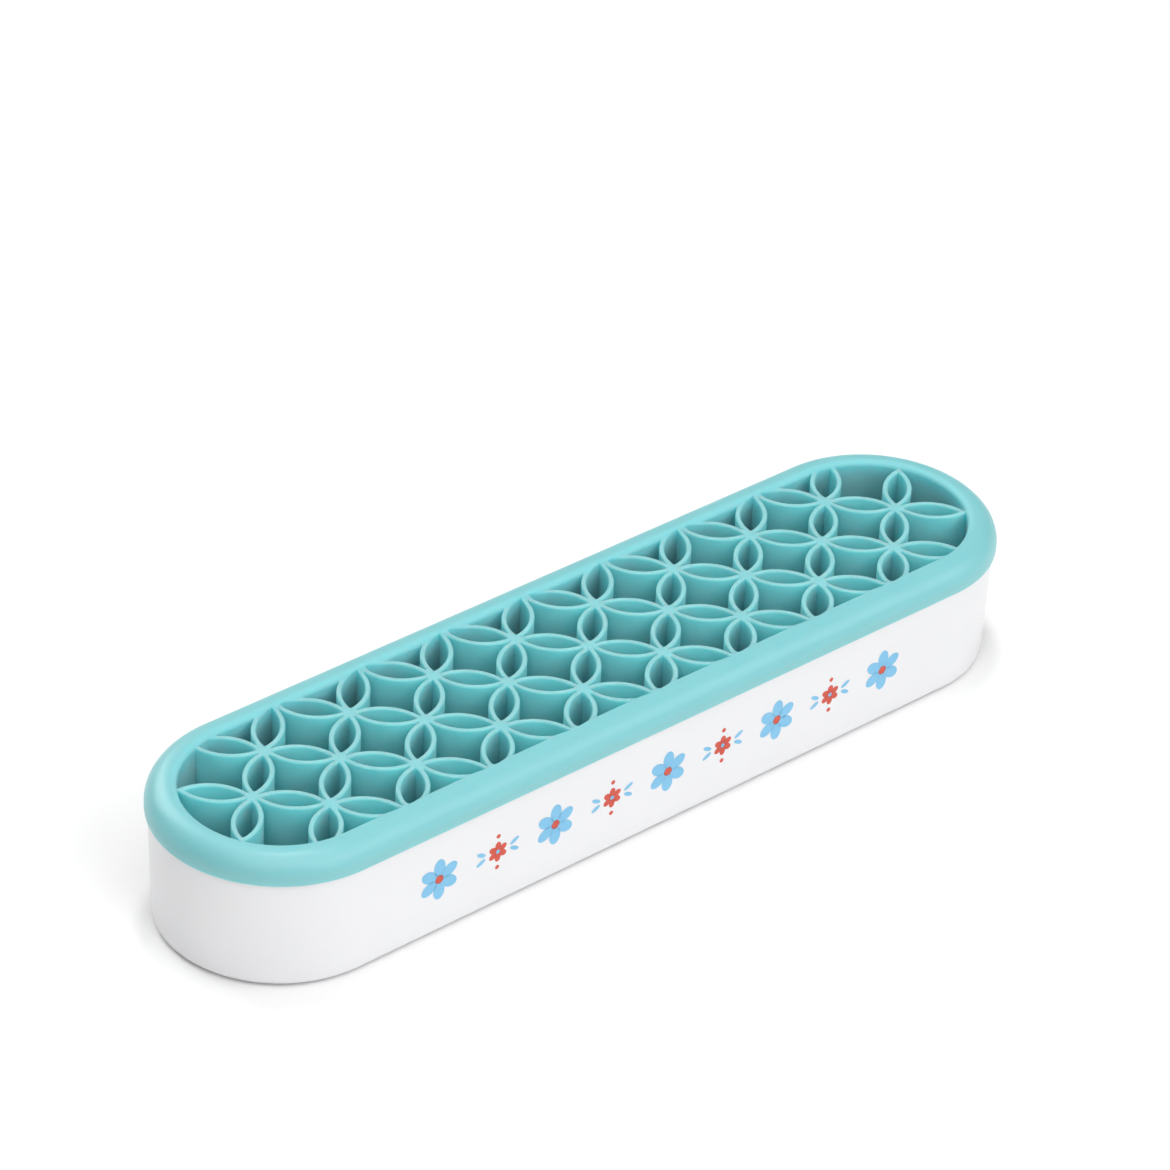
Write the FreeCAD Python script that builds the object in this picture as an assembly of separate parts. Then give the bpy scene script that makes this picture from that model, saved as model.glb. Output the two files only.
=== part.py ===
import FreeCAD, Part
import math
import os

# Open desk case for needles and slim tools: a pill-shaped tub and a soft insert of cells.
# X runs along the case, Y across it, Z up from the surface it stands on. Millimetres and degrees.

# Lattice of cells
pitch = 16.6
columns = 18
rows = 4
cell_wall = 1.6
petal_tip = 0.8
star_tip = 1.2
edge_swell = 0.8
edge_bite = 1.4
lattice_sunk = 1.4

# Rim and skirt of the insert
rim_land = 2.2
rim_round = 7.6
rim_thickness = 6.4
lip_angle = 6.0
lip_face = 2.25
inner_bevel = 1.2
skirt_thickness = 2.2

# Tub
tub_height = 41.6
tub_wall = 2.4
tub_floor = 2.5
tub_draft = 1.1
base_bevel = 1.2

# Pads under the tub
pad_diameter = 12.0
pad_proud = 1.0
pad_recess = 0.6
pad_margin = 8.0

# Fits and clearances
lip_overhang = 1.02
rim_fit = 0.3
floor_gap = 2.5
pad_fit = 0.3

# Heights that follow from the sizes above
tub_bottom = pad_proud
floor_top = tub_bottom + tub_floor
seat = tub_bottom + tub_height
top = seat + rim_thickness
insert_bottom = floor_top + floor_gap
lattice_depth = top - lattice_sunk - insert_bottom

# Widths from the long axis. The outermost petal tips at each end lie on the opening's edge.
opening_half = rows / 2 * pitch - edge_bite
end_half = columns / 2 * pitch - math.sqrt(opening_half**2 - pitch**2)
rim_half = opening_half + rim_land + rim_round * math.cos(math.radians(lip_angle))
tub_top_half = rim_half - lip_overhang
tub_base_half = tub_top_half - tub_height * math.tan(math.radians(tub_draft))

os.makedirs("parts", exist_ok=True)
Vector = FreeCAD.Vector


def straight(start, end):
    """Edge between two (distance, height) points of a section in the YZ plane."""
    return Part.makeLine(Vector(0, *start), Vector(0, *end))


def bend(start, middle, end):
    """Arc through three (distance, height) points of a section in the YZ plane."""
    return Part.Arc(Vector(0, *start), Vector(0, *middle), Vector(0, *end)).toShape()


def outline(corners):
    """Closed face through (distance, height) corners of a section in the YZ plane."""
    return Part.Face(Part.Wire([straight(a, b) for a, b in zip(corners, corners[1:] + corners[:1])]))


def pill_body(section):
    """Solid made by turning a section round both ends and drawing it along both sides."""
    far = section.translated(Vector(end_half, 0, 0))
    near = section.translated(Vector(-end_half, 0, 0))
    other = far.mirror(Vector(), Vector(0, 1, 0))
    along = Vector(2 * end_half, 0, 0)
    pieces = [
        far.revolve(Vector(end_half, 0, 0), Vector(0, 0, 1), -180),
        near.revolve(Vector(-end_half, 0, 0), Vector(0, 0, 1), 180),
        near.extrude(along),
        other.extrude(-along),
    ]
    return pieces[0].multiFuse(pieces[1:]).removeSplitter()


def pill_prism(half_width, bottom, height):
    """Upright prism on a pill outline of the given half width."""
    corner = Vector(end_half, half_width, bottom)
    sides = []
    for side in (1, -1):
        start = Vector(side * corner.x, side * corner.y, bottom)
        tip = Vector(side * (end_half + half_width), 0, bottom)
        end = Vector(side * corner.x, -side * corner.y, bottom)
        sides.append(Part.Arc(start, tip, end).toShape())
        sides.append(Part.makeLine(end, Vector(-side * corner.x, -side * corner.y, bottom)))
    return Part.Face(Part.Wire(sides)).extrude(Vector(0, 0, height))


def pad_places():
    """Centres of the four pads, at the corners where the sides meet the round ends."""
    across = tub_base_half - pad_margin - pad_diameter / 2
    return [(x, y) for x in (-end_half, end_half) for y in (-across, across)]


def base_tub():
    """Open tub with drafted walls, an eased base edge and recesses for the pads."""
    lean = math.tan(math.radians(tub_draft))
    section = outline(
        [
            (0, tub_bottom),
            (tub_base_half - base_bevel, tub_bottom),
            (tub_base_half + base_bevel * lean, tub_bottom + base_bevel),
            (tub_top_half, seat),
            (tub_top_half - tub_wall, seat),
            (tub_base_half + tub_floor * lean - tub_wall, floor_top),
            (0, floor_top),
        ]
    )
    recesses = [
        Part.makeCylinder(pad_diameter / 2 + pad_fit, pad_recess, Vector(x, y, tub_bottom))
        for x, y in pad_places()
    ]
    return pill_body(section).cut(recesses)


def foot_pads():
    """Four round pads, seated in their recesses."""
    thickness = pad_proud + pad_recess
    return Part.makeCompound(
        [Part.makeCylinder(pad_diameter / 2, thickness, Vector(x, y, 0)) for x, y in pad_places()]
    )


def insert_rim():
    """Rounded rim that rests on the tub's edge, with a lip outside the tub's wall."""
    shoulder = opening_half + rim_land

    def on_shoulder(angle):
        turn = math.radians(angle)
        return (shoulder + rim_round * math.cos(turn), top + rim_round * (math.sin(turn) - 1))

    lip_start = on_shoulder(lip_angle)
    lip_end = (rim_half, lip_start[1] - lip_face)
    lip_inside = tub_top_half + rim_fit
    corners = [
        lip_start,
        lip_end,
        (lip_inside, lip_end[1]),
        (lip_inside, seat),
        (opening_half, seat),
        (opening_half, top - inner_bevel),
        (opening_half + inner_bevel, top),
        on_shoulder(90),
    ]
    edges = [straight(a, b) for a, b in zip(corners, corners[1:])]
    middle = on_shoulder((90 + lip_angle) / 2)
    edges.append(bend(corners[-1], middle, corners[0]))
    return pill_body(Part.Face(Part.Wire(edges)))


def insert_skirt():
    """Wall round the lattice, hanging from the rim's inner edge."""
    outer = opening_half + skirt_thickness
    return pill_body(
        outline([(opening_half, insert_bottom), (outer, insert_bottom), (outer, seat), (opening_half, seat)])
    )


def wall_reach(star):
    """Outer radius of a wall that faces a star cell, about the star on the petal's other side."""
    on_edge = abs(star.y) > (rows / 2 - 0.5) * pitch
    return pitch + edge_swell if on_edge else pitch


def petal_core(centre, hubs):
    """Upright core of a petal cell between the arcs about two hubs, with blunt tips."""
    radii = [wall_reach(hubs[1]) - cell_wall, wall_reach(hubs[0]) - cell_wall]
    across = (hubs[1] - hubs[0]).normalize()
    along = Vector(-across.y, across.x, 0)
    offset = pitch / math.sqrt(2)
    # where the two arcs are a tip's width apart
    spread = 2 * offset + petal_tip
    skew = (radii[0] ** 2 - radii[1] ** 2) / spread
    chords = [(spread + skew) / 2, (spread - skew) / 2]
    reach = math.sqrt(radii[0] ** 2 - chords[0] ** 2)
    edges = []
    corners = []
    for turn, hub, radius, chord in zip((1, -1), hubs, radii, chords):
        swell = hub + across * (turn * radius)
        side = centre + across * (turn * (chord - offset))
        first = side + along * reach
        last = side - along * reach
        edges.append(Part.Arc(first, swell, last).toShape())
        corners.append((first, last))
    for one, other in zip(*corners):
        edges.append(Part.makeLine(one, other))
    profile = Part.Wire(Part.__sortEdges__(edges))
    return Part.Face(profile).extrude(Vector(0, 0, lattice_depth))


def inside(x, y):
    """How far a point lies inside the opening's edge, negative outside it."""
    return opening_half - math.hypot(max(abs(x) - end_half, 0), y)


def petal_kept(column, row):
    """Is a square's petal at least half its width inside the opening?"""
    if not (0 <= column < columns and 0 <= row < rows):
        return False
    x = (column - columns / 2 + 0.5) * pitch
    y = (row - rows / 2 + 0.5) * pitch
    return inside(x, y) >= pitch * (1 - math.sqrt(0.5))


def petal_square(column, row, opening):
    """One square of the lattice: the ring round a petal cell, which also edges two star cells."""
    low = Vector((column - columns / 2) * pitch, (row - rows / 2) * pitch, insert_bottom)
    corners = [low + Vector(x, y, 0) for x, y in ((0, 0), (pitch, 0), (pitch, pitch), (0, pitch))]
    rising = (column + row + columns // 2 + rows // 2) % 2 == 0
    hubs = corners[1::2] if rising else corners[::2]
    crossings = corners[::2] if rising else corners[1::2]
    centre = low + Vector(pitch / 2, pitch / 2, 0)
    ring = Part.makeBox(pitch, pitch, lattice_depth, low)
    for hub, star in (hubs, hubs[::-1]):
        ring = ring.common(Part.makeCylinder(wall_reach(star), lattice_depth, hub))
    # blocks at the crossings close the thin end of each star cell
    web = math.sqrt(pitch * star_tip - star_tip**2 / 4)
    blocks = []
    for place in crossings:
        x = place.x if place.x < centre.x else place.x - web
        y = place.y if place.y < centre.y else place.y - web
        blocks.append(Part.makeBox(web, web, lattice_depth, Vector(x, y, insert_bottom)))
    ring = ring.multiFuse(blocks).removeSplitter().cut(petal_core(centre, hubs))
    sides = [(-1, 0), (1, 0), (0, -1), (0, 1)]
    if not all(petal_kept(column + x, row + y) for x, y in sides):
        ring = ring.common(opening)
    return ring.Solids


def lattice_row(row):
    """All the squares of one row, as solids that meet face to face."""
    opening = pill_prism(opening_half, insert_bottom, lattice_depth)
    solids = []
    for column in range(columns):
        if petal_kept(column, row):
            solids += petal_square(column, row, opening)
    return Part.makeCompound(solids)


nodes = {
    "base_tub": base_tub(),
    "foot_pads": foot_pads(),
    "insert_rim": insert_rim(),
    "insert_skirt": insert_skirt(),
}
for row in range(rows):
    nodes["lattice_row_" + str(row + 1)] = lattice_row(row)

for name, shape in nodes.items():
    shape.exportStep("parts/" + name + ".step")
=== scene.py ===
"""Open desk case for needles and slim tools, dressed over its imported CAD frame.

A white pill-shaped tub stands on four pads and carries a printed border. A soft turquoise
insert rests on the tub's edge: a rounded rim, a wall that hangs inside the tub, and a lattice
of petal and star cells. Lengths are metres, with X along the case, Y across it and Z up.
"""

from __future__ import annotations

import logging
import math
from collections.abc import Callable, Iterable
from dataclasses import dataclass, replace
from enum import Enum

import bmesh
import bpy
from bmesh.types import BMEdge, BMesh, BMVert
from bpy.types import ID, Material, Mesh, Node, NodeTree, Object
from mathutils import Matrix, Vector
from mathutils.geometry import intersect_sphere_sphere_2d

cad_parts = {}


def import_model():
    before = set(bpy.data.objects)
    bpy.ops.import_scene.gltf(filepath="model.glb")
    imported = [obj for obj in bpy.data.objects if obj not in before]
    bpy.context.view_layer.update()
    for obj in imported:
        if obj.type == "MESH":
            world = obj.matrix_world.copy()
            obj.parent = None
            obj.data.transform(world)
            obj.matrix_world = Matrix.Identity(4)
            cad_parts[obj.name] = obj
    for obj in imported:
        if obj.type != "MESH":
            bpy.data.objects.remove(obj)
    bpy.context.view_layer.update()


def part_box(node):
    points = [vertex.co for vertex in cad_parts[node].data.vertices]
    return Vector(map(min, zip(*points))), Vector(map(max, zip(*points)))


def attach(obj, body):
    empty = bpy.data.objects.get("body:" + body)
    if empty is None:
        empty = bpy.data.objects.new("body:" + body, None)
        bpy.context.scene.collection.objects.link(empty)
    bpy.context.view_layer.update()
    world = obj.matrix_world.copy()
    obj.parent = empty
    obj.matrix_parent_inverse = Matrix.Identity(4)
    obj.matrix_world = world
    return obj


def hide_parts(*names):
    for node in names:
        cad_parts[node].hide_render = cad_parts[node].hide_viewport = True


log = logging.getLogger("needle_case")

MM = 0.001
UP = Vector((0.0, 0.0, 1.0))
ALONG = Vector((1.0, 0.0, 0.0))
# points that lie closer together are one
MERGE = 0.002 * MM
# how far large faces lead the normals round them, 50 for not at all
FLAT_WEIGHT = 60


class Body(Enum):
    """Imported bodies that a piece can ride."""

    BASE = "base"
    INSERT = "insert"


class Slot(Enum):
    """Names of material slots, which this script does not use."""

    PLASTIC = "tub_plastic"
    SILICONE = "silicone"
    RUBBER = "pad_rubber"


class CellKind(Enum):
    """Outlines that the lattice repeats."""

    PETAL = "petal"
    EDGE_PETAL = "edge_petal"
    CORNER_PETAL = "corner_petal"
    STAR = "star"
    EDGE_STAR = "edge_star"
    CORNER = "corner"
    END = "end"


# Shader node groups


def new_group(name: str, **sockets: str) -> NodeTree:
    """Starts a node group that works with numbers.

    Args:
        name: Name of the group.
        sockets: INPUT or OUTPUT, by the name of the socket.

    Returns:
        The group.
    """
    tree = bpy.data.node_groups.new(name, "ShaderNodeTree")
    for label, way in sockets.items():
        tree.interface.new_socket(name=label, in_out=way, socket_type="NodeSocketFloat")
    return tree


def noise(tree: NodeTree, detail: float, roughness: float) -> Node:
    """Adds a noise texture.

    Args:
        tree: Node tree that holds it.
        detail: Number of octaves.
        roughness: How much of each finer octave shows.

    Returns:
        The noise node.
    """
    node = tree.nodes.new("ShaderNodeTexNoise")
    node.inputs["Detail"].default_value = detail
    node.inputs["Roughness"].default_value = roughness
    return node


class SurfaceGroups:
    """Builds the node groups that several finishes share.

    Attributes:
        FINE_RATIO: How much finer the second grain is than the first.
        FINE_SHARE: How much of the second grain is added.
        STREAK_STRETCH: How the rubbed streaks are drawn out along the three axes.
        STREAK_BAND: Noise values between which a streak fades in.
    """

    FINE_RATIO: float = 4.5
    FINE_SHARE: float = 0.35
    STREAK_STRETCH: tuple[float, float, float] = (0.6, 2.2, 5.0)
    STREAK_BAND: tuple[float, float] = (0.58, 0.78)

    def __init__(self) -> None:
        """Makes both groups."""
        self.grain = self._grain()
        self.mottle = self._mottle()

    def _grain(self) -> NodeTree:
        """Builds a fine moulded grain.

        Returns:
            Group with a Scale input and a Height output.
        """
        tree = new_group("moulded_grain", Scale="INPUT", Height="OUTPUT")
        start = tree.nodes.new("NodeGroupInput")
        end = tree.nodes.new("NodeGroupOutput")
        place = tree.nodes.new("ShaderNodeTexCoord")
        coarse = noise(tree, detail=2.0, roughness=0.5)
        fine = noise(tree, detail=3.0, roughness=0.6)
        finer = tree.nodes.new("ShaderNodeMath")
        finer.operation = "MULTIPLY"
        finer.inputs[1].default_value = self.FINE_RATIO
        blend = tree.nodes.new("ShaderNodeMath")
        blend.operation = "MULTIPLY_ADD"
        blend.inputs[1].default_value = self.FINE_SHARE
        link = tree.links.new
        link(place.outputs["Object"], coarse.inputs["Vector"])
        link(place.outputs["Object"], fine.inputs["Vector"])
        link(start.outputs["Scale"], coarse.inputs["Scale"])
        link(start.outputs["Scale"], finer.inputs[0])
        link(finer.outputs[0], fine.inputs["Scale"])
        link(fine.outputs["Fac"], blend.inputs[0])
        link(coarse.outputs["Fac"], blend.inputs[2])
        link(blend.outputs[0], end.inputs["Height"])
        return tree

    def _mottle(self) -> NodeTree:
        """Builds broad handling marks: faint clouds and a few rubbed streaks.

        Returns:
            Group with a Scale input and Cloud and Rub outputs.
        """
        tree = new_group("handling_mottle", Scale="INPUT", Cloud="OUTPUT", Rub="OUTPUT")
        start = tree.nodes.new("NodeGroupInput")
        end = tree.nodes.new("NodeGroupOutput")
        place = tree.nodes.new("ShaderNodeTexCoord")
        stretch = tree.nodes.new("ShaderNodeMapping")
        stretch.inputs["Scale"].default_value = self.STREAK_STRETCH
        cloud = noise(tree, detail=4.0, roughness=0.55)
        streak = noise(tree, detail=6.0, roughness=0.65)
        band = tree.nodes.new("ShaderNodeMapRange")
        band.interpolation_type = "SMOOTHSTEP"
        band.inputs["From Min"].default_value, band.inputs["From Max"].default_value = self.STREAK_BAND
        link = tree.links.new
        link(place.outputs["Object"], cloud.inputs["Vector"])
        link(place.outputs["Object"], stretch.inputs["Vector"])
        link(stretch.outputs["Vector"], streak.inputs["Vector"])
        link(start.outputs["Scale"], cloud.inputs["Scale"])
        link(start.outputs["Scale"], streak.inputs["Scale"])
        link(streak.outputs["Fac"], band.inputs["Value"])
        link(cloud.outputs["Fac"], end.inputs["Cloud"])
        link(band.outputs["Result"], end.inputs["Rub"])
        return tree


@dataclass(frozen=True)
class Finish:
    """One moulded or printed surface.

    Attributes:
        name: Material name.
        light: Linear colour of the surface where it is palest.
        deep: Linear colour where the clouding is strongest.
        roughness: Base roughness.
        rubbed: Roughness change on rubbed streaks.
        grain_scale: Spatial frequency of the moulded grain, per metre.
        grain_depth: Height of the grain in metres.
        cloud_scale: Spatial frequency of the clouding, per metre.
        coat: Weight of the clear gloss on top.
        coat_roughness: Roughness of that gloss.
        sheen_level: Strength of the mirror reflection, 0.5 for common plastic.
        subsurface: Share of light that scatters inside.
        bleed: Distance over which light scatters, in metres.
        reach: Share of that distance for red, green and blue light.
    """

    name: str
    light: tuple[float, float, float]
    deep: tuple[float, float, float]
    roughness: float
    rubbed: float
    grain_scale: float
    grain_depth: float
    cloud_scale: float
    coat: float = 0.0
    coat_roughness: float = 0.18
    sheen_level: float = 0.5
    subsurface: float = 0.0
    bleed: float = 0.002
    reach: tuple[float, float, float] = (0.6, 1.0, 1.0)

    def build(self, groups: SurfaceGroups) -> Material:
        """Builds the material.

        Args:
            groups: Node groups shared by all finishes.

        Returns:
            The finished material.
        """
        material = bpy.data.materials.new(self.name)
        material.use_nodes = True
        tree = material.node_tree
        shader = tree.nodes["Principled BSDF"]
        grain = self._group(tree, groups.grain, self.grain_scale)
        mottle = self._group(tree, groups.mottle, self.cloud_scale)
        tint = tree.nodes.new("ShaderNodeMix")
        tint.data_type = "RGBA"
        tint.inputs["A"].default_value = (*self.light, 1.0)
        tint.inputs["B"].default_value = (*self.deep, 1.0)
        gloss = tree.nodes.new("ShaderNodeMath")
        gloss.operation = "MULTIPLY_ADD"
        gloss.inputs[1].default_value = self.rubbed
        gloss.inputs[2].default_value = self.roughness
        bump = tree.nodes.new("ShaderNodeBump")
        bump.inputs["Distance"].default_value = self.grain_depth
        bump.inputs["Strength"].default_value = 1.0
        link = tree.links.new
        link(mottle.outputs["Cloud"], tint.inputs["Factor"])
        link(tint.outputs["Result"], shader.inputs["Base Color"])
        link(mottle.outputs["Rub"], gloss.inputs[0])
        link(gloss.outputs[0], shader.inputs["Roughness"])
        link(grain.outputs["Height"], bump.inputs["Height"])
        link(bump.outputs["Normal"], shader.inputs["Normal"])
        shader.inputs["Specular IOR Level"].default_value = self.sheen_level
        shader.inputs["Coat Weight"].default_value = self.coat
        shader.inputs["Coat Roughness"].default_value = self.coat_roughness
        shader.inputs["Subsurface Weight"].default_value = self.subsurface
        shader.inputs["Subsurface Radius"].default_value = self.reach
        shader.inputs["Subsurface Scale"].default_value = self.bleed
        return material

    def _group(self, tree: NodeTree, group: NodeTree, scale: float) -> Node:
        """Places a shared group in the material.

        Args:
            tree: The material's node tree.
            group: Node group to place.
            scale: Value of its Scale input.

        Returns:
            The group node.
        """
        node = tree.nodes.new("ShaderNodeGroup")
        node.node_tree = group
        node.inputs["Scale"].default_value = scale
        return node


WHITE_PLASTIC = Finish(
    name="white_plastic", light=(0.835, 0.835, 0.845), deep=(0.798, 0.798, 0.812), roughness=0.3,
    rubbed=0.12, grain_scale=900.0, grain_depth=0.000012, cloud_scale=28.0, coat=0.12, subsurface=0.05,
)
TURQUOISE_SILICONE = Finish(
    name="turquoise_silicone", light=(0.256, 0.602, 0.626), deep=(0.238, 0.574, 0.602), roughness=0.36,
    rubbed=0.08, grain_scale=1500.0, grain_depth=0.00002, cloud_scale=34.0, subsurface=1.0, bleed=0.003,
)
# light goes right through the thin walls of the cells
THIN_SILICONE = replace(
    TURQUOISE_SILICONE, name="turquoise_silicone_thin", light=(0.254, 0.612, 0.65),
    deep=(0.238, 0.59, 0.628), roughness=0.55, sheen_level=0.25, bleed=0.011, reach=(0.3, 1.0, 1.0),
)
GREY_RUBBER = Finish(
    name="grey_rubber", light=(0.38, 0.385, 0.39), deep=(0.33, 0.335, 0.34), roughness=0.62, rubbed=0.14,
    grain_scale=1800.0, grain_depth=0.00003, cloud_scale=60.0,
)
BLUE_INK = Finish(
    name="blue_ink", light=(0.22, 0.55, 0.8), deep=(0.18, 0.5, 0.76), roughness=0.38, rubbed=0.12,
    grain_scale=1600.0, grain_depth=0.00001, cloud_scale=160.0,
)
RED_INK = replace(BLUE_INK, name="red_ink", light=(0.68, 0.075, 0.035), deep=(0.6, 0.06, 0.03))
PALE_FLOOR = Finish(
    name="pale_floor", light=(0.94, 0.94, 0.94), deep=(0.93, 0.93, 0.933), roughness=0.8, rubbed=0.05,
    grain_scale=300.0, grain_depth=0.00001, cloud_scale=3.0,
)


# Wires, sweeps and pieces


class Pen:
    """Draws a wire in a bmesh, one straight or one arc at a time."""

    def __init__(self, bm: BMesh, start: Vector) -> None:
        """Sets the pen down at the wire's first point."""
        self.bm = bm
        self.tip = bm.verts.new(start)

    def line_to(self, point: Vector) -> None:
        """Draws a straight to a point."""
        self.tip = bmesh.ops.extrude_vert_indiv(self.bm, verts=[self.tip])["verts"][0]
        self.tip.co = point

    def arc(self, centre: Vector, axis: Vector, degrees: float, steps: int) -> None:
        """Draws an arc from the pen's place.

        Args:
            centre: Centre of the arc.
            axis: Axis that the arc turns about.
            degrees: Angle of the arc.
            steps: Number of straights that it is cut into.
        """
        turned = bmesh.ops.spin(
            self.bm, geom=[self.tip], cent=centre, axis=axis, angle=math.radians(degrees), steps=steps
        )
        self.tip = kept(turned["geom_last"], BMVert)[0]


def section_point(distance: float, height: float) -> Vector:
    """Point of an upright section, by its distance from the long axis and its height."""
    return Vector((0.0, distance, height))


def kept(items: Iterable, *kinds: type) -> list:
    """Keeps the mesh elements of the given kinds."""
    return [item for item in items if isinstance(item, kinds)]


def clean(bm: BMesh) -> None:
    """Merges doubles and turns all faces outward."""
    bmesh.ops.remove_doubles(bm, verts=bm.verts[:], dist=MERGE)
    bmesh.ops.recalc_face_normals(bm, faces=bm.faces[:])


def mesh_from(bm: BMesh, name: str) -> Mesh:
    """Turns a bmesh into a mesh.

    Args:
        bm: The bmesh, which is used up.
        name: Name of the mesh.

    Returns:
        The mesh.
    """
    mesh = bpy.data.meshes.new(name)
    bm.to_mesh(mesh)
    bm.free()
    return mesh


def add_mesh(bm: BMesh, other: BMesh) -> None:
    """Adds one bmesh to another.

    Args:
        bm: Bmesh to add to.
        other: Bmesh to add, which is used up.
    """
    passing = mesh_from(other, "passing")
    bm.from_mesh(passing)
    bpy.data.meshes.remove(passing)


def add_object(name: str, data: ID) -> Object:
    """Puts a mesh, a light or a camera into the scene.

    Args:
        name: Name of the object.
        data: What it shows.

    Returns:
        The object.
    """
    made = bpy.data.objects.new(name, data)
    bpy.context.scene.collection.objects.link(made)
    return made


def sweep_round_pill(bm: BMesh, end_half: float, steps: int) -> None:
    """Turns the wire in a mesh round both ends of the pill and draws it along both sides.

    Args:
        bm: Mesh that holds only the wire, in the YZ plane.
        end_half: Distance of the round ends' axes from the middle.
        steps: Number of faces round each end.
    """
    bmesh.ops.translate(bm, verts=bm.verts[:], vec=(end_half, 0.0, 0.0))
    wire = bm.verts[:] + bm.edges[:]
    for axis_x in (end_half, -end_half):
        turned = bmesh.ops.spin(
            bm, geom=wire, cent=(axis_x, 0.0, 0.0), axis=-UP, angle=math.pi, steps=steps
        )["geom_last"]
        drawn = bmesh.ops.extrude_edge_only(bm, edges=kept(turned, BMEdge))["geom"]
        fresh = kept(drawn, BMVert)
        bmesh.ops.translate(bm, verts=fresh, vec=(-2.0 * axis_x, 0.0, 0.0))
        wire = fresh + [edge for edge in kept(drawn, BMEdge) if set(edge.verts) <= set(fresh)]
    clean(bm)


def finish_piece(
    name: str,
    bm: BMesh,
    material: Material,
    body: Body,
    stands_for: tuple[str, ...] = (),
) -> Object:
    """Makes a piece from a mesh and puts it on its body.

    Args:
        name: Name of the piece.
        bm: Its mesh, which is used up.
        material: Its finish.
        body: Body that it rides.
        stands_for: CAD nodes that it takes the place of.

    Returns:
        The piece.
    """
    mesh = mesh_from(bm, name)
    mesh.shade_smooth()
    mesh.materials.append(material)
    piece = add_object(name, mesh)
    normals = piece.modifiers.new("flat_faces_lead", "WEIGHTED_NORMAL")
    normals.weight = FLAT_WEIGHT
    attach(piece, body.value)
    if stands_for:
        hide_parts(*stands_for)
    log.info("%s: %d faces on %s", name, len(mesh.polygons), body.value)
    return piece


# Sub-assemblies


@dataclass(frozen=True)
class CaseSizes:
    """Main sizes of the case, in metres.

    Attributes:
        top: Height of the rim.
        lattice_top: Height of the lattice.
        seat: Height of the tub's edge.
        lip: Height of the rim's lower edge.
        insert_bottom: Height of the insert's lower end.
        tub_bottom: Height of the tub's underside.
        rim_half: Half the width of the rim.
        tub_half: Half the width of the tub's edge.
        skirt_half: Half the width over the insert's hanging wall.
        end_half: Distance of the round ends' axes from the middle.
        pads: Corners of the box round the four pads.
    """

    top: float
    lattice_top: float
    seat: float
    lip: float
    insert_bottom: float
    tub_bottom: float
    rim_half: float
    tub_half: float
    skirt_half: float
    end_half: float
    pads: tuple[Vector, Vector]

    @classmethod
    def from_frame(cls) -> CaseSizes:
        """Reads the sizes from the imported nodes.

        Returns:
            The sizes.
        """
        rim_low, rim_high = (Vector(corner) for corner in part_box("insert_rim"))
        tub_low, tub_high = (Vector(corner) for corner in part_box("base_tub"))
        skirt_low, skirt_high = (Vector(corner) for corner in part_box("insert_skirt"))
        pad_low, pad_high = (Vector(corner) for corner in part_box("foot_pads"))
        return cls(
            top=rim_high.z,
            lattice_top=Vector(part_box("lattice_row_2")[1]).z,
            seat=tub_high.z,
            lip=rim_low.z,
            insert_bottom=skirt_low.z,
            tub_bottom=tub_low.z,
            rim_half=rim_high.y,
            tub_half=tub_high.y,
            skirt_half=skirt_high.y,
            end_half=tub_high.x - tub_high.y,
            pads=(pad_low, pad_high),
        )


@dataclass(frozen=True)
class Tub:
    """White tub with a drafted wall.

    Attributes:
        case: Main sizes.
        wall: Thickness of the wall.
        floor: Thickness of the floor.
        draft: Lean of the wall in degrees.
        base_round: Radius of the base edge.
        edge_round: Radius of the top edges.
        inner_round: Radius between wall and floor inside.
        underside: Width of the underside that is swept with the base edge, in radii.
        inside: Width of the floor that is swept with the inner radius, in radii.
        base_steps: Faces across the base edge.
        edge_steps: Faces across each top edge.
        inner_steps: Faces across the inner radius.
        steps: Faces round each end.
    """

    case: CaseSizes
    wall: float = 2.4 * MM
    floor: float = 2.5 * MM
    draft: float = 1.1
    base_round: float = 1.6 * MM
    edge_round: float = 0.4 * MM
    inner_round: float = 1.5 * MM
    underside: float = 6.0
    inside: float = 4.0
    base_steps: int = 8
    edge_steps: int = 4
    inner_steps: int = 6
    steps: int = 64

    def half_at(self, height: float) -> float:
        """Distance of the outer wall from the long axis at a height."""
        return self.case.tub_half - (self.case.seat - height) * math.tan(math.radians(self.draft))

    def build(self, material: Material) -> None:
        """Builds the tub.

        Args:
            material: Its finish.
        """
        case = self.case
        lean = math.radians(self.draft)
        bottom = case.tub_bottom
        floor_top = bottom + self.floor
        bm = bmesh.new()
        # the base edge is tangent to the underside and to the leaning wall
        reach = self.base_round * (1.0 + math.sin(lean)) / math.cos(lean)
        rise = bottom + self.base_round
        centre = section_point(self.half_at(rise) - self.base_round / math.cos(lean), rise)
        pen = Pen(bm, section_point(centre.y - self.underside * reach, bottom))
        pen.line_to(section_point(centre.y, bottom))
        pen.arc(centre, ALONG, 90.0 - self.draft, self.base_steps)
        rounding = self.edge_round
        crown = section_point(case.tub_half - rounding, case.seat - rounding)
        pen.line_to(crown + section_point(rounding, 0.0))
        pen.arc(crown, ALONG, 90.0, self.edge_steps)
        shoulder = section_point(case.tub_half - self.wall + rounding, case.seat - rounding)
        pen.line_to(shoulder + section_point(0.0, rounding))
        pen.arc(shoulder, ALONG, 90.0, self.edge_steps)
        rise = floor_top + self.inner_round
        corner = section_point(self.half_at(rise) - self.wall - self.inner_round, rise)
        pen.line_to(corner + section_point(self.inner_round, 0.0))
        pen.arc(corner, ALONG, -90.0, self.inner_steps)
        pen.line_to(section_point(corner.y - self.inside * self.inner_round, floor_top))
        sweep_round_pill(bm, case.end_half, self.steps)
        bmesh.ops.holes_fill(bm, edges=[edge for edge in bm.edges if edge.is_boundary], sides=0)
        clean(bm)
        finish_piece("tub", bm, material, Body.BASE, ("base_tub",))


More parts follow.
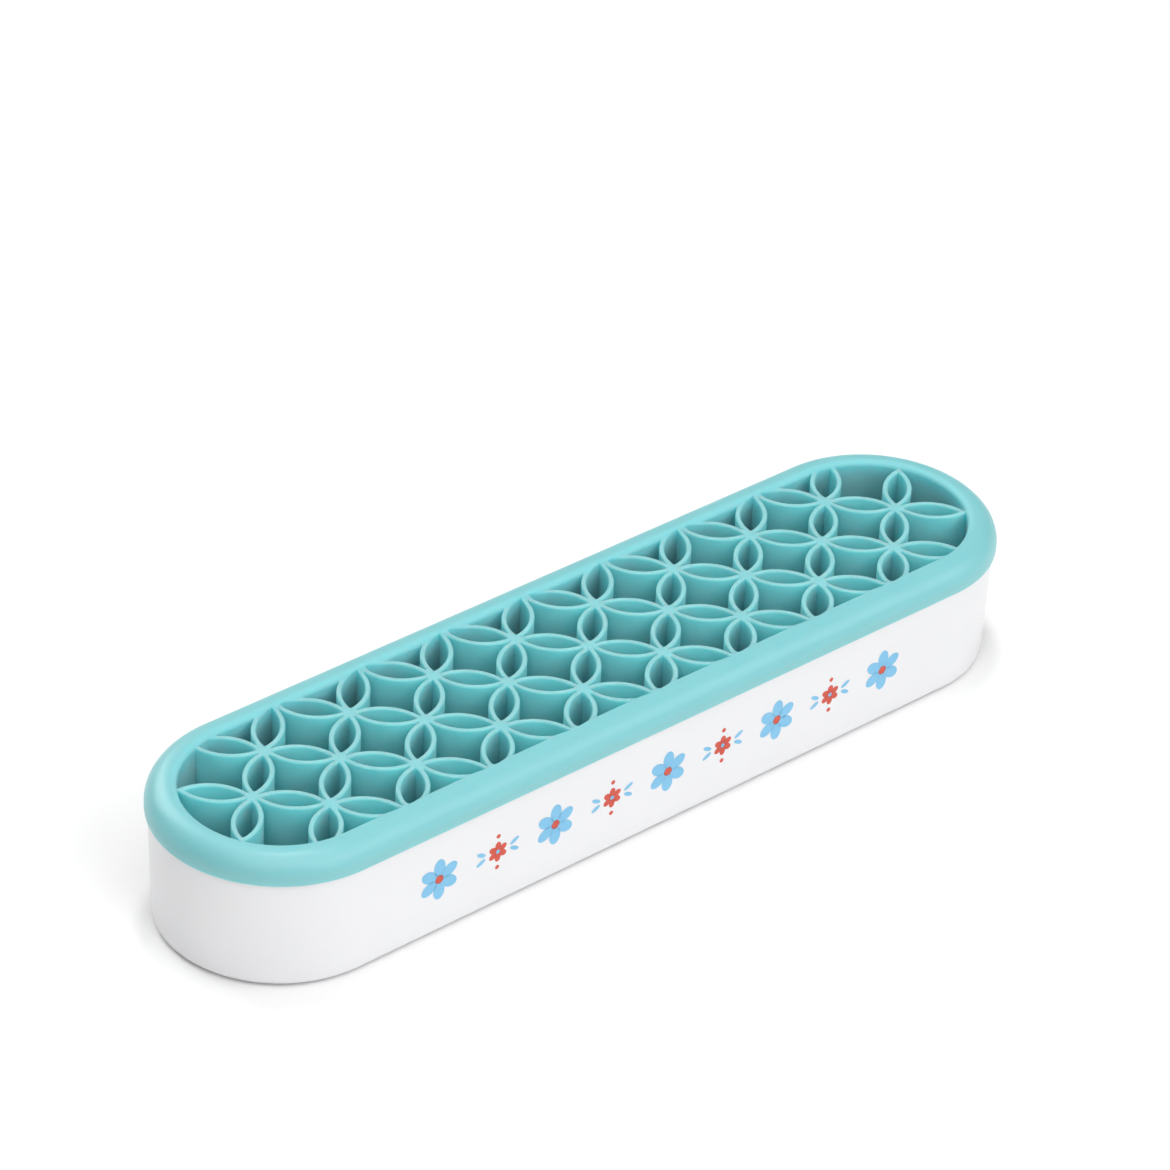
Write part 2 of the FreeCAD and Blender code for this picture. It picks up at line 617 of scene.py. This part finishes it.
@dataclass(frozen=True)
class FootPads:
    """Four round pads under the tub.

    Attributes:
        case: Main sizes.
        diameter: Diameter of a pad.
        edge_round: Radius of its lower edge.
        edge_steps: Faces across that edge.
        segments: Faces round a pad.
    """

    case: CaseSizes
    diameter: float = 12.0 * MM
    edge_round: float = 0.35 * MM
    edge_steps: int = 4
    segments: int = 48

    def build(self, material: Material) -> None:
        """Builds the pads.

        Args:
            material: Their finish.
        """
        low, high = self.case.pads
        radius = self.diameter / 2.0
        bm = bmesh.new()
        for x in (low.x + radius, high.x - radius):
            for y in (low.y + radius, high.y - radius):
                place = Matrix.Translation((x, y, (low.z + high.z) / 2.0))
                bmesh.ops.create_cone(
                    bm, cap_ends=True, segments=self.segments, radius1=radius, radius2=radius,
                    depth=high.z - low.z, matrix=place,
                )
        lower = [edge for edge in bm.edges if all(vert.co.z < low.z + MERGE for vert in edge.verts)]
        bmesh.ops.bevel(
            bm, geom=lower, offset=self.edge_round, affect="EDGES", segments=self.edge_steps,
            profile=0.5, material=-1,
        )
        clean(bm)
        finish_piece("foot_pads_round", bm, material, Body.BASE, ("foot_pads",))


@dataclass(frozen=True)
class Rim:
    """Rounded rim of the insert, with the wall that hangs from it.

    Attributes:
        case: Main sizes.
        skirt: Thickness of the hanging wall.
        land: Width from the opening to the crest.
        dome: Radius of the inner side, up to the crest.
        seam: Width of the rim's inner part that is moulded with the lattice.
        shoulder: Radius of the outer shoulder.
        lip_angle: Angle at which the shoulder ends, in degrees.
        fit: Gap between lip and tub.
        lip_round: Radius of the lip's lower edge.
        dome_steps: Faces across the inner side.
        shoulder_steps: Faces across the shoulder.
        lip_steps: Faces across the lip's lower edge.
        steps: Faces round each end.
        cuts: Cuts across each straight side.
    """

    case: CaseSizes
    skirt: float = 2.2 * MM
    land: float = 2.2 * MM
    dome: float = 3.4 * MM
    seam: float = 1.2 * MM
    shoulder: float = 7.6 * MM
    lip_angle: float = 6.0
    fit: float = 0.3 * MM
    lip_round: float = 0.35 * MM
    dome_steps: int = 5
    shoulder_steps: int = 18
    lip_steps: int = 4
    steps: int = 72
    cuts: int = 35

    @property
    def opening_half(self) -> float:
        """Half the width of the opening that holds the lattice."""
        return self.case.skirt_half - self.skirt

    @property
    def seam_half(self) -> float:
        """Distance from the long axis at which the lattice gives way to the rim."""
        return self.opening_half + self.seam

    def height_at(self, distance: float) -> float:
        """Height of the inner side at a distance from the long axis, up to the crest."""
        inward = self.opening_half + self.land - distance
        return self.case.top - self.dome + math.sqrt(self.dome**2 - inward**2)

    def add_to(self, insert: BMesh) -> None:
        """Adds the rim and the hanging wall, open toward the lattice.

        Args:
            insert: Mesh of the insert.
        """
        case = self.case
        bm = bmesh.new()
        pen = Pen(bm, section_point(self.seam_half, self.height_at(self.seam_half)))
        crest = section_point(self.opening_half + self.land, case.top)
        rise = math.asin((self.land - self.seam) / self.dome)
        pen.arc(crest - section_point(0.0, self.dome), ALONG, -math.degrees(rise), self.dome_steps)
        turn = self.lip_angle - 90.0
        pen.arc(crest - section_point(0.0, self.shoulder), ALONG, turn, self.shoulder_steps)
        corner = section_point(case.rim_half - self.lip_round, case.lip + self.lip_round)
        pen.line_to(corner + section_point(self.lip_round, 0.0))
        pen.arc(corner, ALONG, -90.0, self.lip_steps)
        inside = case.tub_half + self.fit
        pen.line_to(section_point(inside, case.lip))
        pen.line_to(section_point(inside, case.seat))
        pen.line_to(section_point(case.skirt_half, case.seat))
        pen.line_to(section_point(case.skirt_half, case.insert_bottom))
        pen.line_to(section_point(self.seam_half, case.insert_bottom))
        sweep_round_pill(bm, case.end_half, self.steps)
        along = [edge for edge in bm.edges if edge.calc_length() > case.end_half]
        bmesh.ops.subdivide_edges(bm, edges=along, cuts=self.cuts)
        add_mesh(insert, bm)


# centre, angle in degrees and steps of an arc
Turn = tuple[Vector, float, int]
# faces along a cell's side and round its corner
SIDE_STEPS = 12
CORNER_STEPS = 7


def turn_between(start: Vector, end: Vector, way: int) -> float:
    """Degrees from one direction to another, anticlockwise where way is 1 and clockwise where it is -1."""
    angle = math.degrees(math.atan2(end.y, end.x) - math.atan2(start.y, start.x))
    return way * (way * angle % 360.0)


@dataclass(frozen=True)
class Flank:
    """Side of a cell, an arc about a hub.

    Attributes:
        hub: Centre of the arc, from the cell's middle.
        radius: Radius of the arc.
        end: Place on the near side of the corner where it ends, walked anticlockwise.
        side: 1 where the cell lies inside the arc, -1 where it lies outside it.
    """

    hub: Vector
    radius: float
    end: Vector
    side: int

    def corner_with(self, other: Flank, rounding: float) -> Vector:
        """Finds the centre of the rounding between this side and the next.

        Args:
            other: The next side.
            rounding: Radius of the rounding.

        Returns:
            The centre, from the cell's middle.
        """
        places = intersect_sphere_sphere_2d(
            self.hub.to_2d(), self.radius - self.side * rounding,
            other.hub.to_2d(), other.radius - other.side * rounding,
        )
        return min((place.to_3d() for place in places), key=lambda place: (place - self.end).length)


@dataclass(frozen=True)
class CellOutline:
    """Outline of a cell about its middle, walked anticlockwise.

    Attributes:
        start: First point.
        inward: Direction from there into the wall.
        turns: Centre, angle in degrees and steps of each arc that follows.
    """

    start: Vector
    inward: Vector
    turns: tuple[Turn, ...]

    @classmethod
    def rounded(cls, flanks: list[Flank], rounding: float) -> CellOutline:
        """Joins sides with rounded corners.

        Args:
            flanks: The sides, anticlockwise.
            rounding: Radius of the corners.

        Returns:
            The outline.
        """
        following = flanks[1:] + flanks[:1]
        centres = [one.corner_with(other, rounding) for one, other in zip(flanks, following)]
        leaving = [centre - flank.hub for centre, flank in zip(centres, flanks)]
        arriving = [centre - flank.hub for centre, flank in zip(centres, following)]
        turns: list[Turn] = []
        for index, (flank, other) in enumerate(zip(flanks, following)):
            sweep = turn_between(arriving[index - 1], leaving[index], flank.side)
            turns.append((flank.hub, sweep, SIDE_STEPS))
            swing = turn_between(flank.side * leaving[index], other.side * arriving[index], 1)
            turns.append((centres[index], swing, CORNER_STEPS))
        heading = arriving[-1].normalized()
        return cls(flanks[0].hub + heading * flanks[0].radius, heading * flanks[0].side, tuple(turns))


@dataclass(frozen=True)
class CellPlace:
    """Where a cell lies in the lattice.

    Attributes:
        kind: Outline of the cell.
        u: Place along the case, in squares from the middle.
        v: Place across the case, in squares from the middle.
        flip_u: 1, or -1 where the outline is mirrored along the case.
        flip_v: 1, or -1 where the outline is mirrored across the case.
    """

    kind: CellKind
    u: float
    v: float
    flip_u: int = 1
    flip_v: int = 1


@dataclass(frozen=True)
class Lattice:
    """Soft lattice of petal and star cells between circles that cross.

    Attributes:
        case: Main sizes.
        rim: Rim round it.
        pitch: Distance between the crossings, along X and along Y.
        columns: Squares along the case.
        rows: Squares across the case.
        wall: Thickness of the cell walls.
        tip_round: Radius of the petals' tips.
        corner_round: Radius of the stars' corners.
        edge_round: Radius of the walls' top edges.
        edge_curve: Outer radius of the walls that face the rim.
        edge_swell: How far those walls stand from the petals' middle lines.
        edge_shift: How far their arcs are moved toward the rim along the petals.
        sill: How far the rim's side of the cells beside it stands inside the opening.
        straight: Radius of a side that looks straight, in half widths of the lattice.
        edge_steps: Faces across a wall's top edge.
    """

    case: CaseSizes
    rim: Rim
    pitch: float = 16.6 * MM
    columns: int = 18
    rows: int = 4
    wall: float = 1.6 * MM
    tip_round: float = 0.35 * MM
    corner_round: float = 0.2 * MM
    edge_round: float = 0.6 * MM
    edge_curve: float = 16.1 * MM
    edge_swell: float = 5.7 * MM
    edge_shift: float = 0.6 * MM
    sill: float = 0.3 * MM
    straight: float = 20.0
    edge_steps: int = 5

    @property
    def edge_half(self) -> float:
        """Distance of the cells' rim side from the long axis."""
        return self.rim.opening_half - self.sill

    def add_to(self, insert: BMesh) -> None:
        """Adds the walls of all cells.

        Args:
            insert: Mesh of the insert.
        """
        bm = bmesh.new()
        cells = {kind: self._cell(kind) for kind in CellKind}
        for place in self._places():
            self._place(bm, cells[place.kind], place)
        for mesh in cells.values():
            bpy.data.meshes.remove(mesh)
        self._raise_edge(bm)
        add_mesh(insert, bm)

    def _places(self) -> list[CellPlace]:
        """Lists the cells that reach into the opening.

        Returns:
            Place of each cell.
        """
        half_u, half_v = self.columns // 2, self.rows // 2
        places = []
        for column in range(-half_u, half_u):
            for row in range(-half_v, half_v):
                if column in (-half_u, half_u - 1) and row in (-half_v, half_v - 1):
                    continue
                rising = 1 if (column + row) % 2 == 0 else -1
                kind = CellKind.PETAL
                if row in (-half_v, half_v - 1):
                    beside_end = column in (1 - half_u, half_u - 2)
                    kind = CellKind.CORNER_PETAL if beside_end else CellKind.EDGE_PETAL
                up = 1 if row >= 0 else -1
                places.append(CellPlace(kind, column + 0.5, row + 0.5, rising * up, up))
        for u in range(-half_u, half_u + 1):
            for v in range(-half_v, half_v + 1):
                if (u + v) % 2 == 0 or (abs(u) == half_u and abs(v) == half_v):
                    continue
                kind = CellKind.EDGE_STAR if abs(v) == half_v else CellKind.STAR
                if abs(u) == half_u:
                    kind = CellKind.END
                elif abs(u) == half_u - 1 and abs(v) == half_v - 1:
                    kind = CellKind.CORNER
                places.append(CellPlace(kind, u, v, 1 if u >= 0 else -1, 1 if v >= 0 else -1))
        return places

    def _cell(self, kind: CellKind) -> Mesh:
        """Builds the wall faces round one cell at the middle.

        Args:
            kind: Outline of the cell.

        Returns:
            Mesh of its wall with the rounded top edge.
        """
        makers: dict[CellKind, Callable[[], CellOutline]] = {
            CellKind.PETAL: self._petal,
            CellKind.EDGE_PETAL: self._edge_petal,
            CellKind.CORNER_PETAL: self._corner_petal,
            CellKind.STAR: self._star,
            CellKind.EDGE_STAR: self._edge_star,
            CellKind.CORNER: self._corner,
            CellKind.END: self._end,
        }
        top = self.case.lattice_top
        outline = makers[kind]()
        bm = bmesh.new()
        brow = outline.start + outline.inward * self.edge_round
        pen = Pen(bm, brow + UP * top)
        pen.arc(brow + UP * (top - self.edge_round), outline.inward.cross(UP), 90.0, self.edge_steps)
        pen.line_to(outline.start + UP * self.case.insert_bottom)
        wire = bm.verts[:] + bm.edges[:]
        for hub, degrees, steps in outline.turns:
            angle = math.radians(degrees)
            turned = bmesh.ops.spin(bm, geom=wire, cent=hub, axis=UP, angle=angle, steps=steps)
            wire = kept(turned["geom_last"], BMVert, BMEdge)
        bmesh.ops.remove_doubles(bm, verts=bm.verts[:], dist=MERGE)
        return mesh_from(bm, kind.value)

    def _petal_sides(self) -> list[Flank]:
        """Sides of a petal cell along the rising diagonal.

        Returns:
            Upper left and lower right side.
        """
        half = self.pitch / 2.0
        tip = Vector((half, half, 0.0))
        hub = Vector((half, -half, 0.0))
        return [Flank(hub, self.pitch - self.wall, -tip, 1), Flank(-hub, self.pitch - self.wall, tip, 1)]

    def _edge_hub(self) -> Vector:
        """Hub of the wall that faces the rim, from the middle of a petal that rises to the right.

        Returns:
            The hub.
        """
        along = Vector((1.0, 1.0, 0.0)).normalized()
        away = Vector((1.0, -1.0, 0.0)).normalized()
        return along * self.edge_shift + away * (self.edge_curve - self.edge_swell)

    def _petal(self) -> CellOutline:
        """Outline of a petal cell inside the lattice."""
        return CellOutline.rounded(self._petal_sides(), self.tip_round)

    def _edge_petal_sides(self) -> list[Flank]:
        """Sides of a petal cell beside the rim, first the one that faces it."""
        outer, inner = self._petal_sides()
        return [replace(outer, hub=self._edge_hub(), radius=self.edge_curve - self.wall), inner]

    def _edge_petal(self) -> CellOutline:
        """Outline of a petal cell beside the rim."""
        return CellOutline.rounded(self._edge_petal_sides(), self.tip_round)

    def _corner_petal(self) -> CellOutline:
        """Outline of a petal cell whose upper right tip the round end cuts off.

        Returns:
            The outline.
        """
        middle = Vector((self.columns / 2.0 - 1.5, self.rows / 2.0 - 0.5, 0.0)) * self.pitch
        sides = self._edge_petal_sides()
        return CellOutline.rounded([*sides, self._rim_side(middle)], self.tip_round)

    def _rim_side(self, middle: Vector) -> Flank:
        """Side along the round end at the right, for a cell with its middle at a place in the lattice."""
        hub = Vector((self.case.end_half, 0.0, 0.0)) - middle
        return Flank(hub, self.edge_half, Vector((0.0, self.pitch / 2.0, 0.0)), 1)

    def _star_sides(self) -> list[Flank]:
        """Sides of a star cell, anticlockwise from the upper right one.

        Returns:
            The four sides.
        """
        turns = [Matrix.Rotation(quarter * math.pi / 2.0, 3, "Z") for quarter in range(4)]
        hub = Vector((self.pitch, self.pitch, 0.0))
        end = Vector((0.0, self.pitch / 2.0, 0.0))
        return [Flank(turn @ hub, self.pitch, turn @ end, -1) for turn in turns]

    def _star(self) -> CellOutline:
        """Outline of a whole star cell."""
        return CellOutline.rounded(self._star_sides(), self.corner_round)

    def _edge_star(self) -> CellOutline:
        """Outline of a star cell that the rim halves.

        Returns:
            The outline.
        """
        left, right = self._star_sides()[2:]
        hub = self._edge_hub() + Vector((self.pitch, -self.pitch, 0.0)) / 2.0
        left = replace(left, hub=Vector((-hub.x, hub.y, 0.0)), radius=self.edge_curve)
        right = replace(right, hub=hub, radius=self.edge_curve)
        wide = self.straight * self.edge_half
        low = self.rows / 2.0 * self.pitch - self.edge_half
        along = Flank(Vector((0.0, -low - wide, 0.0)), wide, Vector((-self.pitch / 2.0, 0.0, 0.0)), 1)
        return CellOutline.rounded([along, left, right], self.corner_round)

    def _corner(self) -> CellOutline:
        """Outline of a star cell at the upper right whose outer side gives way to the rim."""
        middle = Vector((self.columns // 2 - 1, self.rows // 2 - 1, 0.0)) * self.pitch
        return CellOutline.rounded([*self._star_sides()[1:], self._rim_side(middle)], self.corner_round)

    def _end(self) -> CellOutline:
        """Outline of the star cell at the right end whose two outer sides give way to the rim."""
        middle = Vector((self.columns // 2, 0.0, 0.0)) * self.pitch
        return CellOutline.rounded([*self._star_sides()[1:3], self._rim_side(middle)], self.corner_round)

    def _place(self, bm: BMesh, cell: Mesh, place: CellPlace) -> None:
        """Puts a copy of a cell into the lattice.

        Args:
            bm: Mesh of the lattice.
            cell: Mesh of the cell.
            place: Where it lies.
        """
        before = len(bm.verts)
        bm.from_mesh(cell)
        bm.verts.ensure_lookup_table()
        move = Matrix.Translation((place.u * self.pitch, place.v * self.pitch, 0.0))
        flip = Matrix.Diagonal((place.flip_u, place.flip_v, 1.0, 1.0))
        bmesh.ops.transform(bm, matrix=move @ flip, verts=bm.verts[before:])

    def _raise_edge(self, bm: BMesh) -> None:
        """Raises the lattice's top toward the rim, so that it is dished and runs into the rim's inner side.

        Args:
            bm: Mesh of the lattice.
        """
        level = self.case.lattice_top
        dish = self.rim.height_at(self.edge_half) - level
        for vert in bm.verts:
            # the lower ends of the walls stay
            if vert.co.z < level - 2.0 * self.edge_round:
                continue
            distance = math.hypot(max(abs(vert.co.x) - self.case.end_half, 0.0), vert.co.y)
            if distance < self.edge_half:
                vert.co.z += dish * (distance / self.edge_half) ** 2
            else:
                vert.co.z += self.rim.height_at(min(distance, self.rim.seam_half)) - level


@dataclass(frozen=True)
class Insert:
    """Soft insert, moulded in one.

    Attributes:
        rim: Rim and hanging wall.
        lattice: Cells inside the rim.
    """

    rim: Rim
    lattice: Lattice

    def build(self, thick: Material, thin: Material) -> None:
        """Builds the insert.

        Args:
            thick: Finish of the rim.
            thin: Finish of the lattice.
        """
        bm = bmesh.new()
        self.rim.add_to(bm)
        thick_faces = set(bm.faces)
        self.lattice.add_to(bm)
        for top in (True, False):
            self._fill(bm, top)
        for face in bm.faces:
            face.material_index = 0 if face in thick_faces else 1
        clean(bm)
        nodes = tuple(f"lattice_row_{row + 1}" for row in range(self.lattice.rows))
        piece = finish_piece(
            "soft_insert", bm, thick, Body.INSERT, ("insert_rim", "insert_skirt", *nodes)
        )
        piece.data.materials.append(thin)

    def _fill(self, bm: BMesh, top: bool) -> None:
        """Fills the face between the cells and the rim.

        Args:
            bm: Mesh of the insert.
            top: Whether the upper face is filled, and not the underside.
        """
        middle = (self.rim.case.lattice_top + self.rim.case.insert_bottom) / 2.0
        edges = [
            edge
            for edge in bm.edges
            if edge.is_boundary and all((vert.co.z > middle) == top for vert in edge.verts)
        ]
        bmesh.ops.triangle_fill(bm, use_beauty=True, use_dissolve=False, edges=edges, normal=UP)


@dataclass(frozen=True)
class Flower:
    """A round printed flower.

    Attributes:
        ring: Distance of the petals' centres from the middle.
        petal: The two half widths of a petal.
        middle: Radius of the dot in the middle.
        petals: Number of petals.
    """

    ring: float
    petal: tuple[float, float]
    middle: float
    petals: int = 6


@dataclass(frozen=True)
class PrintBorder:
    """Printed border of large and small flowers in a row along the front of the tub.

    Attributes:
        tub: Tub that carries it.
        height: Height of its middle line.
        spacing: Distance from one flower to the next.
        count: Number of flowers, large ones first and last.
        large: Flower at the even places.
        small: Flower at the odd places, with two leaves on each side and two dots.
        leaf: The two half widths of a leaf.
        leaf_place: Distance of the leaves beside and above the small flower's middle.
        leaf_tilt: Tilt of the leaves in degrees.
        dot: Radius of the dots.
        dot_place: Distance of the dots above and below the small flower's middle.
        segments: Corners of an oval.
        film: Thickness of the ink.
        gap: Gap between the ink and the wall.
    """

    tub: Tub
    height: float = 21.5 * MM
    spacing: float = 23.0 * MM
    count: int = 9
    large: Flower = Flower(4.5 * MM, (3.2 * MM, 2.2 * MM), 1.7 * MM)
    small: Flower = Flower(2.2 * MM, (1.6 * MM, 1.15 * MM), 0.8 * MM)
    leaf: tuple[float, float] = (1.9 * MM, 0.75 * MM)
    leaf_place: tuple[float, float] = (6.6 * MM, 1.5 * MM)
    leaf_tilt: float = 28.0
    dot: float = 0.8 * MM
    dot_place: float = 6.0 * MM
    segments: int = 28
    film: float = 0.04 * MM
    gap: float = 0.01 * MM

    def build(self, blue: Material, red: Material) -> None:
        """Builds the two colours of the border.

        Args:
            blue: Finish of the blue ink.
            red: Finish of the red ink.
        """
        blues, reds = bmesh.new(), bmesh.new()
        for index in range(self.count):
            x = (index - (self.count - 1) / 2.0) * self.spacing
            if index % 2 == 0:
                self._flower(self.large, blues, reds, x)
            else:
                self._flower(self.small, reds, blues, x)
                self._leaves(blues, reds, x)
        for name, bm, material in (("border_blue", blues, blue), ("border_red", reds, red)):
            self._lay(bm)
            finish_piece(name, bm, material, Body.BASE)

    def _oval(self, bm: BMesh, x: float, y: float, size: tuple[float, float], degrees: float) -> None:
        """Draws a filled oval on the border's plane.

        Args:
            bm: Mesh of one ink.
            x: Place along the border.
            y: Place across the border.
            size: Its two half widths.
            degrees: Turn of the oval.
        """
        turn = Matrix.Rotation(math.radians(degrees), 4, "Z")
        shape = Matrix.Diagonal((size[0], size[1], 1.0, 1.0))
        place = Matrix.Translation((x, y, 0.0)) @ turn @ shape
        bmesh.ops.create_circle(bm, cap_ends=True, segments=self.segments, radius=1.0, matrix=place)

    def _flower(self, flower: Flower, own: BMesh, other: BMesh, x: float) -> None:
        """Draws a flower.

        Args:
            flower: Its sizes.
            own: Ink of the petals.
            other: Ink of the middle.
            x: Place along the border.
        """
        for petal in range(flower.petals):
            degrees = 360.0 / flower.petals * (petal + 0.5)
            angle = math.radians(degrees)
            out, up = flower.ring * math.cos(angle), flower.ring * math.sin(angle)
            self._oval(own, x + out, up, flower.petal, degrees)
        self._oval(other, x, 0.0, (flower.middle, flower.middle), 0.0)

    def _leaves(self, own: BMesh, other: BMesh, x: float) -> None:
        """Draws two pairs of leaves beside a small flower, and a dot above and below it.

        Args:
            own: Ink of the leaves.
            other: Ink of the dots.
            x: Place along the border.
        """
        beside, above = self.leaf_place
        for side in (-1.0, 1.0):
            for lift in (-1.0, 1.0):
                self._oval(own, x + side * beside, lift * above, self.leaf, side * lift * self.leaf_tilt)
            self._oval(other, x, side * self.dot_place, (self.dot, self.dot), 0.0)

    def _lay(self, bm: BMesh) -> None:
        """Gives the ink its film and lays it on the leaning front wall.

        Args:
            bm: Mesh of one ink, flat at the middle.
        """
        raised = bmesh.ops.extrude_face_region(bm, geom=bm.faces[:])["geom"]
        bmesh.ops.translate(bm, verts=kept(raised, BMVert), vec=UP * self.film)
        bmesh.ops.recalc_face_normals(bm, faces=bm.faces[:])
        stand = Matrix.Rotation(math.radians(90.0 + self.tub.draft), 4, "X")
        spot = Matrix.Translation((0.0, -self.tub.half_at(self.height) - self.gap, self.height))
        bmesh.ops.transform(bm, matrix=spot @ stand, verts=bm.verts[:])


# Stage


# point of the case that the lights face
AIM = Vector((0.0, 0.0, 0.02))


@dataclass(frozen=True)
class Softbox:
    """A square area light aimed at the case.

    Attributes:
        name: Name of the light.
        place: Where it hangs, in metres.
        size: Side of the square.
        power: Power in watts.
    """

    name: str
    place: tuple[float, float, float]
    size: float
    power: float

    def build(self) -> None:
        """Builds the light."""
        data = bpy.data.lights.new(self.name, "AREA")
        data.shape = "SQUARE"
        data.size = self.size
        data.energy = self.power
        light = add_object(self.name, data)
        light.location = self.place
        light.rotation_euler = (AIM - light.location).to_track_quat("-Z", "Y").to_euler()
        log.info("%s: %.1f W", self.name, self.power)


@dataclass(frozen=True)
class Studio:
    """White stage, soft light and the camera.

    Attributes:
        unit: Length that the camera's place is given in.
        azimuth: Camera's turn from the front, in degrees.
        elevation: Camera's height angle, in degrees.
        roll: Turn of the picture, in degrees.
        distance: Camera's distance, in units.
        shift: Place of the lattice's middle beside and above the picture's middle, in units.
        lens: Focal length in millimetres.
        sensor: Width of the sensor in millimetres.
        far: Farthest distance that the camera shows.
        floor_half: Half the width of the floor.
        boxes: Lights.
        ambient: Strength of the surrounding white.
    """

    unit: float = 16.6 * MM
    azimuth: float = -41.485
    elevation: float = 34.317
    roll: float = 2.73
    distance: float = 94.562
    shift: tuple[float, float] = (0.082, -1.139)
    lens: float = 152.42
    sensor: float = 36.0
    far: float = 50.0
    floor_half: float = 6.0
    boxes: tuple[Softbox, ...] = (
        Softbox("overhead", (-0.35, -0.5, 2.0), 2.0, 25.0),
        Softbox("key", (0.2, 0.3, 2.0), 0.22, 6.5),
        Softbox("front", (0.0, -2.2, 1.5), 1.6, 21.0),
        Softbox("front_right", (1.45, -1.5, 1.65), 1.6, 17.0),
        Softbox("beside_camera", (-1.7, -1.3, 1.6), 1.4, 11.0),
        Softbox("back", (0.0, 2.2, 1.5), 1.6, 33.6),
    )
    ambient: float = 0.02

    def build(self, top: float, floor: Material) -> None:
        """Builds the stage.

        Args:
            top: Height of the lattice, which the camera is aimed by.
            floor: Finish of the floor.
        """
        self._floor(floor)
        for box in self.boxes:
            box.build()
        self._world()
        self._camera(top)
        bpy.context.scene.view_settings.view_transform = "Standard"

    def _floor(self, material: Material) -> None:
        """Lays the floor.

        Args:
            material: Its finish.
        """
        bm = bmesh.new()
        bmesh.ops.create_grid(bm, x_segments=2, y_segments=2, size=self.floor_half)
        floor = add_object("stage_floor", mesh_from(bm, "stage_floor"))
        floor.data.materials.append(material)

    def _world(self) -> None:
        """Surrounds the stage with even white."""
        world = bpy.data.worlds.new("white_room")
        world.use_nodes = True
        background = world.node_tree.nodes["Background"]
        background.inputs["Color"].default_value = (1.0, 1.0, 1.0, 1.0)
        background.inputs["Strength"].default_value = self.ambient
        bpy.context.scene.world = world

    def _camera(self, top: float) -> None:
        """Places the camera at the photograph's angle.

        Args:
            top: Height of the point that it is aimed by.
        """
        turn, rise, roll = (math.radians(angle) for angle in (self.azimuth, self.elevation, self.roll))
        out = math.cos(rise)
        back = Vector((math.sin(turn) * out, -math.cos(turn) * out, math.sin(rise)))
        level = Vector((math.cos(turn), math.sin(turn), 0.0))
        right = Matrix.Rotation(roll, 3, back) @ level
        above = back.cross(right)
        data = bpy.data.cameras.new("camera")
        data.lens = self.lens
        data.sensor_width = self.sensor
        data.clip_end = self.far
        data.dof.use_dof = False
        camera = add_object("camera", data)
        axes = Matrix((right, above, back)).transposed()
        place = (back * self.distance - right * self.shift[0] - above * self.shift[1]) * self.unit
        camera.matrix_world = Matrix.Translation(place + UP * top) @ axes.to_4x4()
        bpy.context.scene.camera = camera


def main() -> None:
    """Loads the frame, builds and dresses each sub-assembly, and sets the stage."""
    logging.basicConfig(level=logging.INFO, format="%(name)s %(message)s")
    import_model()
    case = CaseSizes.from_frame()
    groups = SurfaceGroups()
    tub = Tub(case)
    tub.build(WHITE_PLASTIC.build(groups))
    FootPads(case).build(GREY_RUBBER.build(groups))
    PrintBorder(tub).build(BLUE_INK.build(groups), RED_INK.build(groups))
    rim = Rim(case)
    insert = Insert(rim, Lattice(case, rim))
    insert.build(TURQUOISE_SILICONE.build(groups), THIN_SILICONE.build(groups))
    Studio().build(case.lattice_top, PALE_FLOOR.build(groups))


if __name__ == "__main__":
    main()
